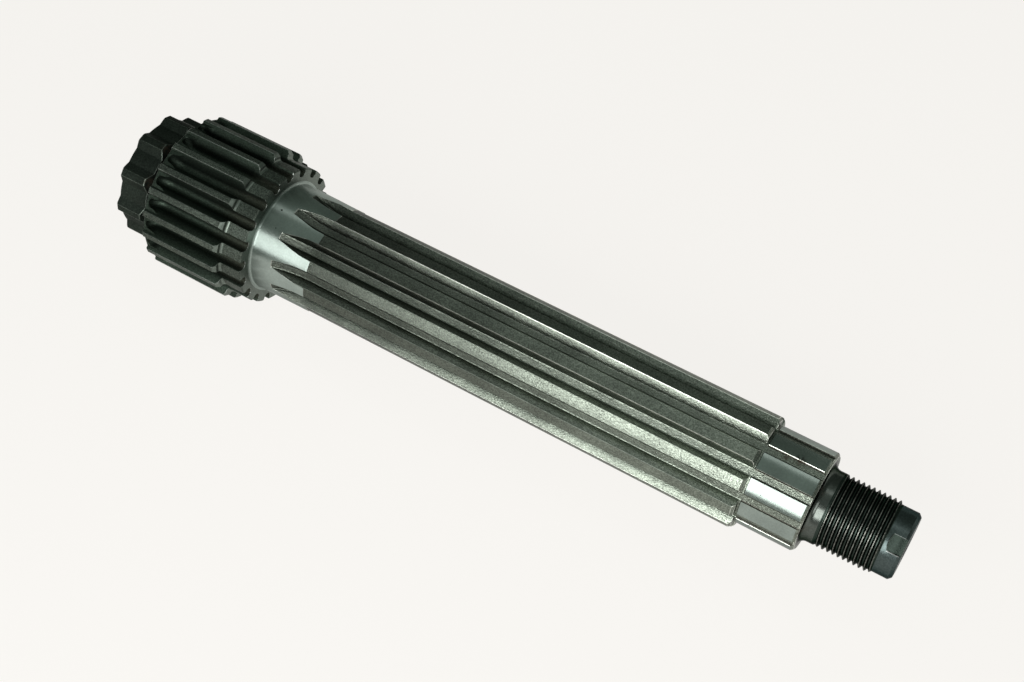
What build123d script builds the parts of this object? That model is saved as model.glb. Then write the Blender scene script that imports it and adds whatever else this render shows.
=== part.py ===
from build123d import *
from math import acos, atan2, cos, degrees, pi, radians, sin, sqrt, tan
import os

# Countershaft, one solid, in mm. X runs along the shaft from the pinion to the thread, Z is up.
# The origin is on the axis, in the middle of the plain stretch of the bearing journal.
# Every length along the shaft is added up from the left end, and moved to the origin at the end.

# Dog ring at the left end
ring_teeth = 10
ring_tip_radius = 25.9
ring_valley_radius = 23.6
ring_length = 11.9           # at the tips of the dogs
ring_tip_half_angle = 3.3    # of one dog, in degrees
ring_root_half_angle = 10.3
ring_root_fillet = 0.7
ring_edge = 0.4
ring_phase = 27.0            # angle of a dog, from Y towards Z

# Relief groove between the ring and the pinion
groove_radius = 22.0
groove_wall_slope = 0.5      # how far the ring's wall leans, per mm of depth
groove_width = 6.5           # from the ring's edge to the pinion's left face
groove_fillet = 0.8

# Pinion: involute teeth, closed by a rim at the left and open at the right
gear_teeth = 20
gear_module = 3.0
gear_pressure_angle = 20.0
gear_shift = -0.22
gear_addendum = 1.0          # in modules
gear_dedendum = 1.25
gear_length = 34.6           # of the full diameter, with the chamfer at the left edge
gear_edge = 0.4
gear_tip_break = 0.18        # small flat along each tooth tip
gear_rim_width = 0.8
gear_rim_depth = 1.3         # how far the rim lies below the tooth tips
gear_phase = 9.0

# Turned-down right end of the pinion
end_chamfer = 1.3
end_step_fillet = 1.0
end_radius = 29.0
end_length = 9.8             # from the step to the shoulder
end_edge = 0.4

# Ground bearing journal, with the spline running out in it
journal_radius = 22.5
journal_length = 25.5
journal_fillet = 0.8
journal_middle = 5.2         # from the shoulder to the origin

# Involute spline
spline_teeth = 12
spline_module = 3.5
spline_pressure_angle = 30.0
spline_thicker = 0.16        # how much a tooth is over half the pitch, on the pitch circle
spline_tip_radius = 22.25    # just under the journal, so that its bearing passes over
spline_root_radius = 18.7
spline_root_fillet = 0.45
spline_tip_break = 0.15
spline_length = 184.0        # of the full teeth, beyond the journal
spline_chamfer = 1.0
spline_phase = 18.5
hob_radius = 35.0            # the cutter that leaves the rounded ends of the grooves

# Seat ground on the spline teeth
seat_radius = 19.4
seat_length = 24.3           # from the full teeth to the seat's face
seat_chamfer = 1.1
relief_width = 0.7
relief_depth = 0.25

# Neck, threaded end and tip
neck_fillet_share = 0.58     # of the seat's face, from the thread's radius to the chamfer
thread_radius = 14.0         # M28, left plain here
thread_length = 27.0         # from the seat's face to the end of the thread
tip_radius = 12.9
tip_length = 7.15
tip_chamfer = 1.2
notch_width = 6.4
notch_length = 5.85
notch_cutter_radius = 10.0
notch_phase = 125.3

# Centre holes for turning: bore, depth and mouth, left and right
centre_cone_angle = 60.0
left_centre = (3.15, 14.0, 6.6)
right_centre = (2.0, 9.0, 4.25)

over = 3.0                   # how far the cutters reach past the metal

# Stations along the shaft, from the left end
ring_end = ring_length + (ring_tip_radius - ring_edge - groove_radius) * groove_wall_slope
gear_start = ring_length + groove_width
gear_step = gear_start + gear_length + end_chamfer
shoulder = gear_step + end_length
journal_end = shoulder + journal_length
spline_end = journal_end + spline_length
seat_end = spline_end + seat_length
thread_end = seat_end + thread_length
shaft_end = thread_end + tip_length
origin = shoulder + journal_middle

gear_pitch_radius = gear_module * gear_teeth / 2
gear_tip_radius = gear_pitch_radius + gear_module * (gear_addendum + gear_shift)
gear_root_radius = gear_pitch_radius - gear_module * (gear_dedendum - gear_shift)
spline_pitch_radius = spline_module * spline_teeth / 2


def at(radius, angle):
    # a point of a cross-section, angle in radians from straight up
    return (radius * sin(angle), radius * cos(angle))


def involute(angle):
    return tan(angle) - angle


def half_gap(radius, teeth, pitch_radius, pressure_angle, thicker):
    # half the angle of the gap between two involute teeth, at a radius
    base_radius = pitch_radius * cos(radians(pressure_angle))
    here = acos(min(1.0, base_radius / radius))
    tooth = pi / 2 / teeth + thicker / 2 / pitch_radius
    tooth += involute(radians(pressure_angle)) - involute(here)
    return pi / teeth - tooth


def mirrored(points):
    return [(-across, up) for across, up in reversed(points)]


def cross_section(edges):
    return Plane.YZ * make_face(Curve() + edges)


def flank(low, high, steps, *gear):
    radii = [high + (low - high) * step / steps for step in range(steps + 1)]
    return [at(radius, half_gap(radius, *gear)) for radius in radii]


def broken_top(points, tip_radius, size):
    # the small flat that takes the sharp edge off the tooth tip, and the open top of the gap
    across, up = points[0]
    slope = atan2(across, up)
    corner = at(tip_radius + size, slope + 2 * size / tip_radius)
    top = (corner[0], tip_radius + over)
    return [top, corner, points[0]]


def gap_face(flank_points, tip_radius, size, bottom):
    opening = broken_top(flank_points, tip_radius, size)
    left = mirrored(flank_points)
    edges = [Polyline(*opening), Spline(*flank_points), *bottom, Spline(*left)]
    edges.append(Polyline(*mirrored(opening)))
    edges.append(Line(mirrored(opening)[-1], opening[0]))
    return cross_section(edges)


def gear_gap():
    # involute flanks, straight below the base circle, and a full round root
    gear = (gear_teeth, gear_pitch_radius, gear_pressure_angle,
            2 * gear_shift * gear_module * tan(radians(gear_pressure_angle)))
    base_radius = gear_pitch_radius * cos(radians(gear_pressure_angle))
    low = max(base_radius, gear_root_radius + 0.1)
    points = flank(low, gear_tip_radius - gear_tip_break, 5, *gear)
    lean = half_gap(low, *gear)
    round_centre = gear_root_radius / (1 - sin(lean))
    round_radius = round_centre - gear_root_radius
    touch = (round_radius * cos(lean), round_centre - round_radius * sin(lean))
    root = [Line(points[-1], touch),
            ThreePointArc(touch, (0, gear_root_radius), (-touch[0], touch[1])),
            Line((-touch[0], touch[1]), mirrored(points)[0])]
    return gap_face(points, gear_tip_radius, gear_tip_break, root)


def spline_groove():
    # involute flanks, and a flat bottom with small fillets, as the hob leaves it
    gear = (spline_teeth, spline_pitch_radius, spline_pressure_angle, spline_thicker)
    low = spline_root_radius + spline_root_fillet
    points = flank(low, spline_tip_radius - spline_tip_break, 4, *gear)
    foot = points[-1]
    inner = (foot[0] - spline_root_fillet, spline_root_radius)
    bend = spline_root_fillet * 0.29
    middle = (foot[0] - bend, spline_root_radius + bend)
    root = [ThreePointArc(foot, middle, inner),
            Line(inner, (-inner[0], inner[1])),
            ThreePointArc((-inner[0], inner[1]), (-middle[0], middle[1]), (-foot[0], foot[1]))]
    return gap_face(points, spline_tip_radius, spline_tip_break, root)


def ring_gap():
    # a wide gap with sloping flanks and a bottom that follows the valley's circle
    pitch = pi / ring_teeth
    tip = at(ring_tip_radius, pitch - radians(ring_tip_half_angle))
    foot = at(ring_valley_radius, pitch - radians(ring_root_half_angle))
    run = (tip[0] - foot[0]) / (tip[1] - foot[1])
    top = (tip[0] + run * over, tip[1] + over)
    left_foot = (-foot[0], foot[1])
    edges = [Line(top, foot),
             ThreePointArc(foot, (0, ring_valley_radius), left_foot),
             Line(left_foot, (-top[0], top[1])),
             Line((-top[0], top[1]), top)]
    face = cross_section(edges)
    corners = face.vertices().sort_by(Axis.Z)[0:2]
    return fillet(corners, ring_root_fillet)


def around(cutter, count, phase):
    # copies about the shaft: the cutter stands straight up, the phase counts from Y
    return [Rot(X=phase - 90 + 360 / count * number) * cutter for number in range(count)]


def ring_cutters():
    length = ring_end + over
    cutter = Pos(X=-over) * extrude(ring_gap(), length, dir=(1, 0, 0))
    return around(cutter, ring_teeth, ring_phase + 180 / ring_teeth)


def gear_cutters():
    # straight through the right face, and curving up to the rim at the left
    section = gear_gap()
    axis_height = gear_tip_radius - gear_rim_depth
    sweep = axis_height - gear_root_radius
    bend = gear_start + gear_rim_width + sweep
    straight = Pos(X=bend) * extrude(section, shoulder + over - bend, dir=(1, 0, 0))
    below = section & Plane.YZ * Pos(0, axis_height / 2) * Rectangle(4 * gear_module, axis_height)
    above = section - Plane.YZ * Pos(0, axis_height / 2) * Rectangle(4 * gear_module, axis_height)
    pivot = Axis((0, 0, axis_height), (0, 1, 0))
    rising = Pos(X=bend) * revolve(below, pivot, revolution_arc=90)
    shallow = Pos(X=gear_start - over) * extrude(above, bend - gear_start + over, dir=(1, 0, 0))
    return around(straight + rising + shallow, gear_teeth, gear_phase + 180 / gear_teeth)


def spline_cutters():
    # the hob's axis stands over the journal's end, so the grooves curve out inside the journal
    section = spline_groove()
    pivot = Axis((0, 0, spline_root_radius + hob_radius), (0, 1, 0))
    rise = degrees(acos((spline_root_radius + hob_radius - journal_radius) / hob_radius)) + 6
    run_out = Pos(X=journal_end) * revolve(section, pivot, revolution_arc=rise)
    straight = extrude(section, spline_length + seat_length + over, dir=(1, 0, 0))
    cutter = Pos(X=journal_end) * straight + run_out
    return around(cutter, spline_teeth, spline_phase + 180 / spline_teeth)


def notch_cutter():
    # a disc cutter over the end face, so the floor curves up to the surface
    sink = sqrt(notch_cutter_radius ** 2 - notch_length ** 2)
    centre = Pos(shaft_end, 0, tip_radius + sink)
    disc = centre * Rot(X=90) * Cylinder(notch_cutter_radius, notch_width)
    return Rot(X=notch_phase - 90) * disc


def centre_hole(size, end, turn):
    radius, depth, mouth = size
    cone = (mouth - radius) / tan(radians(centre_cone_angle / 2))
    points = [(0, 0), (0, mouth), (cone, radius), (depth, radius), (depth + radius * 0.6, 0), (0, 0)]
    hole = revolve(make_face(Plane.XZ * Polyline(*points)), Axis.X)
    return Pos(X=end) * Rot(Z=turn) * hole


def turned_blank():
    # half the outline of the shaft as it leaves the lathe, as station and radius
    edge_radius = ring_tip_radius - ring_edge
    step_radius = gear_tip_radius - end_chamfer
    seat_start = spline_end + spline_chamfer
    relief_radius = seat_radius - relief_depth
    face_radius = seat_radius - seat_chamfer
    neck_fillet = neck_fillet_share * (face_radius - thread_radius)
    points = [
        (0, 0),
        (0, edge_radius),
        (ring_edge, ring_tip_radius),
        (ring_length - ring_edge, ring_tip_radius),
        (ring_length, edge_radius),
        (ring_end, groove_radius),
        (gear_start, groove_radius),
        (gear_start, gear_tip_radius - gear_edge),
        (gear_start + gear_edge, gear_tip_radius),
        (gear_start + gear_length, gear_tip_radius),
        (gear_step, step_radius),
        (gear_step, end_radius),
        (shoulder - end_edge, end_radius),
        (shoulder, end_radius - end_edge),
        (shoulder, journal_radius),
        (journal_end, journal_radius),
        (journal_end + 0.1, spline_tip_radius),
        (spline_end, spline_tip_radius),
        (seat_start, spline_tip_radius - spline_chamfer),
        (seat_start, relief_radius),
        (seat_start + relief_width, relief_radius),
        (seat_start + relief_width + relief_depth, seat_radius),
        (seat_end - seat_chamfer, seat_radius),
        (seat_end, face_radius),
        (seat_end, thread_radius),
        (thread_end - (thread_radius - tip_radius), thread_radius),
        (thread_end, tip_radius),
        (shaft_end - tip_chamfer, tip_radius),
        (shaft_end, tip_radius - tip_chamfer),
        (shaft_end, 0),
        (0, 0),
    ]
    outline = make_face(Plane.XZ * Polyline(*points))
    inside_corners = [
        (ring_end, groove_radius, groove_fillet),
        (gear_start, groove_radius, groove_fillet),
        (gear_step, end_radius, end_step_fillet),
        (shoulder, journal_radius, journal_fillet),
        (seat_end, thread_radius, neck_fillet),
    ]
    for station, radius, size in inside_corners:
        corner = outline.vertices().sort_by_distance((station, 0, radius))[0]
        outline = fillet(corner, size)
    return revolve(outline, Axis.X)


def countershaft():
    shaft = turned_blank()
    shaft -= ring_cutters()
    shaft -= gear_cutters()
    shaft -= spline_cutters()
    shaft -= notch_cutter()
    shaft -= centre_hole(left_centre, 0, 0)
    shaft -= centre_hole(right_centre, shaft_end, 180)
    return Pos(X=-origin) * shaft


os.makedirs("parts", exist_ok=True)
shaft = countershaft()
shaft.label = "countershaft"
print("solids", len(shaft.solids()), "valid", shaft.is_valid, "volume", round(shaft.volume))
box = shaft.bounding_box()
print("box", box.min, box.max)
export_step(shaft, "parts/countershaft.step")
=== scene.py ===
from math import acos, asin, atan2, cos, pi, radians, sin, sqrt, tan

import bpy
import numpy as np
from mathutils import Matrix


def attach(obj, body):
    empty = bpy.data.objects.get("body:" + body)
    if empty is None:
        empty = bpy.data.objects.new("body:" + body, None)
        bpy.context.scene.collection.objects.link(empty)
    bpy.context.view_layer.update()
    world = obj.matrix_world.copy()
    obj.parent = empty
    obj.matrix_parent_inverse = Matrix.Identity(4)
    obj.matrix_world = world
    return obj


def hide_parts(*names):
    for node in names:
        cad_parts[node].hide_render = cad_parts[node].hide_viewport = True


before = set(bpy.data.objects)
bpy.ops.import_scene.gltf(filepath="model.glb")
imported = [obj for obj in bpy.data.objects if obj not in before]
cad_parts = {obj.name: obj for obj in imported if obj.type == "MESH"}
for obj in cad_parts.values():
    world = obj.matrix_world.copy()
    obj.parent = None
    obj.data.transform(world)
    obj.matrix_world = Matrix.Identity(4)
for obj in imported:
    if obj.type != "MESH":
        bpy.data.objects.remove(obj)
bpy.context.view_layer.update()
print("frame loaded", sorted(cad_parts))

# All sizes are in mm, as stations along the shaft from its left end, and radii.
# The skin is a run of closed loops around the axis, from the left centre hole to the right one.
shaft = {
    "origin": 69.3,          # station of the frame's origin
    "edge": 0.16,            # usual broken edge
    "sharp": 21,             # degrees between faces that keep an edge between them
}
touch = 0.01                 # a spot nearer to a surface than this lies on it
thirds = (0.33, 0.67)


# Mesh building. A spot is (station, across, up, turned, edge): turned is true where the lathe made
# the surface, and edge is true where a broken edge runs from this spot to the next one of its path.

skin = {"points": [], "faces": [], "turned": [], "edge": [], "finish": []}


def addPoint(station, angle, radius):
    x = (station - shaft["origin"]) / 1000
    skin["points"].append((x, radius * cos(angle) / 1000, radius * sin(angle) / 1000))
    return len(skin["points"]) - 1


def addFace(corners, turned, edge, finish):
    skin["faces"].append(corners)
    skin["turned"].append(turned)
    skin["edge"].append(edge)
    skin["finish"].append(finish)


def involute(angle):
    return tan(angle) - angle


def halfGap(radius, teeth, pitchRadius, pressureAngle, thicker):
    # half the angle of the gap between two involute teeth, at a radius
    baseRadius = pitchRadius * cos(radians(pressureAngle))
    here = acos(min(1.0, baseRadius / radius))
    tooth = pi / 2 / teeth + thicker / 2 / pitchRadius
    tooth += involute(radians(pressureAngle)) - involute(here)
    return pi / teeth - tooth


def at(radius, angle):
    return (radius * sin(angle), radius * cos(angle))


def layGrid(columns, finishOf, stripEdge=()):
    # columns is a list of (centre angle, path). Neighbours are joined spot by spot, all the way round.
    count = len(columns)
    rows = len(columns[0][1])
    index = np.zeros((count, rows), int)
    for c, (centre, path) in enumerate(columns):
        for r, spot in enumerate(path):
            angle = centre + atan2(spot[1], spot[2])
            index[c, r] = addPoint(spot[0], angle, sqrt(spot[1] ** 2 + spot[2] ** 2))
    for c in range(count):
        d = (c + 1) % count
        here, there = columns[c][1], columns[d][1]
        for r in range(rows - 1):
            spots = (here[r], there[r], there[r + 1], here[r + 1])
            turned = all(spot[3] for spot in spots)
            edge = here[r][4] and there[r][4]
            if c in stripEdge and not turned:
                edge = True
            corners = (index[c, r], index[d, r], index[d, r + 1], index[c, r + 1])
            addFace(corners, turned, edge, finishOf(spots, turned))
    return index[:, 0].tolist(), index[:, -1].tolist()


def layAround(half, shares, radius, count, phase, pathOf, finishOf):
    # the same columns once per gap: the gap from side to side, and spots along the land beside it.
    # half is the gap's section from its middle to the land, and the shares are of the land's width.
    landStart = atan2(*half[-1])
    width = 2 * pi / count - 2 * landStart
    section = [(-across, up) for across, up in reversed(half[1:])] + half
    section += [at(radius, landStart + width * share) for share in shares]
    paths = [pathOf(spot) for spot in section]
    columns = []
    strips = set()
    for number in range(count):
        centre = radians(phase) + 2 * pi / count * (number + 0.5)
        # a gap's first and last strips are broken edges
        strips.update((len(columns), len(columns) + 2 * len(half) - 3))
        columns += [(centre, path) for path in paths]
    return layGrid(columns, finishOf, strips)


def angleOf(number):
    x, y, z = skin["points"][number]
    return atan2(z, y) % (2 * pi)


def sewLoops(first, second, finish):
    # triangles between two loops with different numbers of points, the first one to the left
    first = sorted(first, key=angleOf)
    second = sorted(second, key=angleOf)
    a = b = 0
    while a < len(first) or b < len(second):
        nextA = angleOf(first[(a + 1) % len(first)]) + (2 * pi if a + 1 >= len(first) else 0)
        nextB = angleOf(second[(b + 1) % len(second)]) + (2 * pi if b + 1 >= len(second) else 0)
        hereA, hereB = first[a % len(first)], second[b % len(second)]
        if b >= len(second) or (a < len(first) and nextA <= nextB):
            addFace((hereA, first[(a + 1) % len(first)], hereB), True, False, finish)
            a += 1
        else:
            addFace((hereA, second[(b + 1) % len(second)], hereB), True, False, finish)
            b += 1


def along(spot, radius, station):
    # the same direction from the axis, at another radius
    here = sqrt(spot[0] ** 2 + spot[1] ** 2)
    return (station, spot[0] * radius / here, spot[1] * radius / here)


def adder(path, spot):
    # a function that adds spots to a path, in the direction of one spot of the section
    def add(radius, station, turned=True, edge=False):
        path.append((*along(spot, radius, station), turned, edge))
    return add


def arcSpots(centre, size, fromAngle, toAngle, steps):
    # station and radius along a small arc, angles in degrees
    for step in range(steps + 1):
        angle = radians(fromAngle + (toAngle - fromAngle) * step / steps)
        yield centre[0] + size * cos(angle), centre[1] + size * sin(angle)


# Dog ring and the groove behind it

dogRing = {
    "dogs": 10,
    "phase": 27.0,           # degrees from Y towards Z
    "tipRadius": 25.9,
    "valleyRadius": 23.6,
    "length": 11.9,
    "tipHalfAngle": 3.3,
    "rootHalfAngle": 10.3,
    "rootRound": 0.22,       # how far the round runs along each side of the corner
    "valleyRows": (0, 0.3, 0.6, 0.85),  # shares of the valley's, flank's and land's width
    "flankRows": (0.25, 0.5, 0.75),
    "landRows": (0.3, 0.5, 0.7),
    "edge": 0.4,
    "wallSlope": 0.5,
    "grooveRadius": 22.0,
    "grooveFillet": 0.8,
    "faceRadius": 21.0,      # the left face is sewn to the centre hole from here
    "seam": 0.4,             # from the groove's fillet to the pinion's sewn face
}


def ringSection():
    # half of a gap between two dogs, from the middle of the valley to the dog's corner
    pitch = pi / dogRing["dogs"]
    tipRadius, valley = dogRing["tipRadius"], dogRing["valleyRadius"]
    rootAngle = pitch - radians(dogRing["rootHalfAngle"])
    tipAngle = pitch - radians(dogRing["tipHalfAngle"])
    foot, corner = at(valley, rootAngle), at(tipRadius, tipAngle)
    length = sqrt((corner[0] - foot[0]) ** 2 + (corner[1] - foot[1]) ** 2)
    onFlank = [foot[k] + (corner[k] - foot[k]) * dogRing["rootRound"] / length for k in (0, 1)]
    onValley = at(valley, rootAngle - dogRing["rootRound"] / valley)
    half = [at(valley, rootAngle * share) for share in dogRing["valleyRows"]]
    for share in (0.0, *thirds, 1.0):
        # a round through both points, bulging towards the corner
        half.append(tuple(onValley[k] * (1 - share) ** 2 + 2 * foot[k] * share * (1 - share)
                          + onFlank[k] * share ** 2 for k in (0, 1)))
    for share in dogRing["flankRows"]:
        half.append(tuple(foot[k] + (corner[k] - foot[k]) * share for k in (0, 1)))
    cut = shaft["edge"] / length
    half.append(tuple(corner[k] + (foot[k] - corner[k]) * cut for k in (0, 1)))
    half.append(at(tipRadius, tipAngle + shaft["edge"] / tipRadius))
    return half


def ringPath(spot):
    radius = min(sqrt(spot[0] ** 2 + spot[1] ** 2), dogRing["tipRadius"])
    edgeRadius = dogRing["tipRadius"] - dogRing["edge"]
    cut = max(radius - edgeRadius, shaft["edge"])
    length, slope = dogRing["length"], dogRing["wallSlope"]
    floor = dogRing["grooveRadius"]
    small = shaft["edge"]
    land = radius > dogRing["tipRadius"] - touch
    path = []
    add = adder(path, spot)
    add(dogRing["faceRadius"], 0)
    add(radius - cut, 0, edge=True)
    add(radius, cut, land)
    if radius > edgeRadius:
        leave = length - dogRing["edge"] + dogRing["tipRadius"] - radius
    else:
        leave = length + (edgeRadius - radius) * slope
    for share in thirds:
        add(radius, leave * share, land)
    add(radius, leave - small, land, True)
    below = max(radius - small, edgeRadius) if radius > edgeRadius + 2 * touch else radius - small
    wall = length - below + edgeRadius if below > edgeRadius else length + (edgeRadius - below) * slope
    add(below, wall)
    last = min(below, edgeRadius)
    add(last, length + (edgeRadius - last) * slope)
    end = length + (edgeRadius - floor) * slope
    turn = atan2(1, slope)
    run = dogRing["grooveFillet"] * tan(turn / 2)
    centre = (end + run, floor + dogRing["grooveFillet"])
    size = dogRing["grooveFillet"]
    for station, height in arcSpots(centre, size, -90 - turn * 180 / pi, -90, 4):
        add(height, station)
    centre = (pinion["start"] - size, floor + size)
    for station, height in arcSpots(centre, size, -90, 0, 5):
        add(height, station)
    add(floor + size + dogRing["seam"], pinion["start"])
    return path


def buildRing():
    return layAround(ringSection(), dogRing["landRows"], dogRing["tipRadius"], dogRing["dogs"],
                     dogRing["phase"], ringPath, lambda spots, turned: "scaled")


# Pinion

pinion = {
    "teeth": 20,
    "phase": 9.0,
    "module": 3.0,
    "pressureAngle": 20.0,
    "shift": -0.22,
    "dedendum": 1.25,        # in modules
    "start": 18.4,
    "tipEnd": 53.0,
    "tipBreak": 0.18,
    "leftEdge": 0.4,
    "rimWidth": 0.8,
    "rimDepth": 1.3,
    "endChamfer": 1.3,
    "stepFillet": 1.0,
    "endRadius": 29.0,
    "endEdge": 0.4,
    "shoulder": 64.1,
    "flankRows": (29.3, 30.2, 31.7),    # radii of spots on the flanks, the last one over the rim
    "rows": (31.0, 38.0, 45.0),         # stations of rows along the teeth
    "lowRows": (57.0, 60.0),            # and along the lower lands
    "rootSteps": 6,
    "riseSteps": 8,
    "wallEdge": 0.4,         # broken at the top of a gap's left wall, at most this share of its height
    "chamferBreak": 0.06,
    "cornerBreak": 0.07,
    "chamferMargin": 0.1,    # spots this far over the chamfer's foot take part in it
    "wornFrom": 28.5,        # turned lands over this radius look worn
    "faceRadius": 23.8,      # the left face is sewn to the groove from here
    "seam": 0.9,             # from the journal's fillet to the shoulder's sewn face
}


def gearRadii():
    pitchRadius = pinion["module"] * pinion["teeth"] / 2
    tipRadius = pitchRadius + pinion["module"] * (1 + pinion["shift"])
    rootRadius = pitchRadius - pinion["module"] * (pinion["dedendum"] - pinion["shift"])
    return pitchRadius, tipRadius, rootRadius


def gearSection():
    # half of a tooth gap, from the middle of its round root to the edge of the tooth's land
    pitchRadius, tipRadius, rootRadius = gearRadii()
    thicker = 2 * pinion["shift"] * pinion["module"] * tan(radians(pinion["pressureAngle"]))
    gear = (pinion["teeth"], pitchRadius, pinion["pressureAngle"], thicker)
    base = pitchRadius * cos(radians(pinion["pressureAngle"]))
    lean = halfGap(base, *gear)
    middle = rootRadius / (1 - sin(lean))
    size = middle - rootRadius
    half = []
    steps = pinion["rootSteps"]
    for step in range(steps + 1):
        angle = -pi / 2 + (pi / 2 - lean) * step / steps
        half.append((size * cos(angle), middle + size * sin(angle)))
    rim = tipRadius - pinion["rimDepth"]
    endRadius = pinion["endRadius"]
    half.append(at((base + sqrt(half[-1][0] ** 2 + half[-1][1] ** 2)) / 2, lean))
    for radius in (base, endRadius, *pinion["flankRows"][:2]):
        half.append(at(radius, halfGap(radius, *gear)))
    # the rim's top is flat across the gap, so its corner lies at a height and not at a radius
    radius = rim
    for _ in range(20):
        radius = rim / cos(halfGap(radius, *gear))
    half.append(at(radius, halfGap(radius, *gear)))
    low = tipRadius - pinion["tipBreak"]
    for radius in (pinion["flankRows"][2], low):
        half.append(at(radius, halfGap(radius, *gear)))
    half.append(at(tipRadius, halfGap(low, *gear) + pinion["tipBreak"] / tipRadius))
    return half


def gearPath(spot):
    pitchRadius, tipRadius, rootRadius = gearRadii()
    radius = min(sqrt(spot[0] ** 2 + spot[1] ** 2), tipRadius)
    small = shaft["edge"]
    land = radius > tipRadius - touch
    rim = tipRadius - pinion["rimDepth"]
    start = pinion["start"]
    bend = start + pinion["rimWidth"] + rim - rootRadius
    across, up = spot
    depth = rim - up
    closed = depth > touch
    topRadius = sqrt(across ** 2 + rim ** 2) if closed else radius
    top = (across, rim) if closed else spot
    cut = max(pinion["leftEdge"] - (tipRadius - topRadius), small)
    path = []
    add, addTop = adder(path, spot), adder(path, top)
    addTop(pinion["faceRadius"], start)
    addTop(topRadius - cut, start, edge=True)
    addTop(topRadius, start + cut, land)
    if closed:
        nib = min(small, depth * pinion["wallEdge"])
        first = pi / 2 - nib / depth
        path.append((bend - depth - nib, across, rim, False, False))
    else:
        first = 0
        path.append((bend, across, up, land, False))
    for step in range(pinion["riseSteps"] + 1):
        turn = first * (1 - step / pinion["riseSteps"])
        path.append((bend - depth * sin(turn) if closed else bend,
                     across, rim - depth * cos(turn) if closed else up, land, False))
    # the right end of the tooth: chamfer, step and fillet down to the lower land
    chamferRadius = tipRadius - pinion["endChamfer"]
    stepStation = pinion["tipEnd"] + pinion["endChamfer"]
    endRadius, size = pinion["endRadius"], pinion["stepFillet"]
    over = radius > endRadius + 2 * touch
    chamferBreak, cornerBreak = pinion["chamferBreak"], pinion["cornerBreak"]
    if radius > chamferRadius:
        leave = pinion["tipEnd"] + tipRadius - radius
    elif radius > endRadius + size or not over:
        leave = stepStation
    else:
        leave = stepStation + size - sqrt(size ** 2 - (endRadius + size - radius) ** 2)
    for station in pinion["rows"]:
        add(radius, station, land)
    add(radius, leave - (chamferBreak if land else small), land, over)
    if radius > chamferRadius + pinion["chamferMargin"]:
        add(radius - chamferBreak, leave + chamferBreak)
        add(chamferRadius + cornerBreak, stepStation - cornerBreak, edge=True)
        add(chamferRadius - cornerBreak, stepStation)
    elif over:
        lower = max(radius - small, endRadius + size * 0.5)
        lower = min(lower, radius)
        for _ in range(3):
            add(lower, leave)
    else:
        for _ in range(3):
            add(radius, leave, False)
    middle = (stepStation + size, endRadius + size)
    for station, height in arcSpots(middle, size, 180, 270, 6):
        add(min(height, radius), station, over)
    # at the lower land, its own edge is broken where the flank meets it
    rides = radius > endRadius - 2 * touch
    lowRadius = min(radius, endRadius)
    if rides and not over:
        lowRadius = endRadius - small
    for station in pinion["lowRows"]:
        add(lowRadius, station, over)
    endCut = pinion["endEdge"] if rides else small
    shoulder = pinion["shoulder"]
    add(lowRadius, shoulder - endCut, over, True)
    add(lowRadius - endCut, shoulder)
    add(journal["radius"] + journal["fillet"] + pinion["seam"], shoulder)
    return path


def pinionFinish(spots, turned):
    # the lands that the lathe left on the teeth look lighter than the rest
    lowest = min(spot[1] ** 2 + spot[2] ** 2 for spot in spots) ** 0.5
    stations = [spot[0] for spot in spots]
    stepEnd = pinion["tipEnd"] + pinion["endChamfer"] + pinion["stepFillet"]
    onStep = min(stations) > pinion["tipEnd"] - touch and max(stations) < stepEnd + touch
    if turned and (onStep or min(stations) > pinion["shoulder"] - 5 * touch):
        return "faced"
    return "worn" if turned and lowest > pinion["wornFrom"] else "forged"


def buildPinion():
    return layAround(gearSection(), thirds, gearRadii()[1], pinion["teeth"], pinion["phase"],
                     gearPath, pinionFinish)


# Journal, spline and seat

journal = {
    "radius": 22.5,
    "fillet": 0.8,
    "end": 89.6,
    "step": 0.1,
    "rows": (67.0, 70.0, 72.6),         # stations of rows on the plain stretch
    "seam": 0.5,             # from the fillet to the shoulder's sewn face
}

spline = {
    "teeth": 12,
    "phase": 18.5,
    "module": 3.5,
    "pressureAngle": 30.0,
    "thicker": 0.16,
    "tipRadius": 22.25,
    "tipBreak": 0.15,
    "rootRadius": 18.7,
    "rootFillet": 0.45,
    "hobRadius": 35.0,
    "end": 273.6,
    "chamfer": 1.0,
    "flankRows": (19.7, 20.3, 20.9, 21.5),
    "landRows": (0.2, 0.4, 0.6, 0.8),   # shares of the land's width
    "rows": (0.2, 0.4, 0.6, 0.8, 0.95),     # shares of the full teeth's length
    "floorRows": (0.0, 0.25, 0.5, 0.75, 1.0),
    "filletTurns": (22.5, 45.0, 67.5),
    "riseSteps": 12,
    "runOutEdge": (0.192, 0.3),         # where a groove ends in the journal: mm, and share of the wall
    "chamferBreak": 0.08,
    "chamferMargin": 0.2,
}

seat = {
    "radius": 19.4,
    "reliefWidth": 0.7,
    "reliefDepth": 0.25,
    "end": 297.9,
    "chamfer": 1.1,
    "cornerBreak": 0.07,
    "endBreak": 0.096,
    "landBreak": 0.128,
    "finishFrom": 0.8,       # the seat's own finishes start this far past the spline's chamfer
    "faceRadius": 17.2,      # the end face is sewn to the neck from here
}


def splineFloor():
    # half the width of a groove's flat floor, and the spot where the flank starts
    pitchRadius = spline["module"] * spline["teeth"] / 2
    gear = (spline["teeth"], pitchRadius, spline["pressureAngle"], spline["thicker"])
    low = spline["rootRadius"] + spline["rootFillet"]
    foot = at(low, halfGap(low, *gear))
    return foot[0] - spline["rootFillet"], foot, gear


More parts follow.
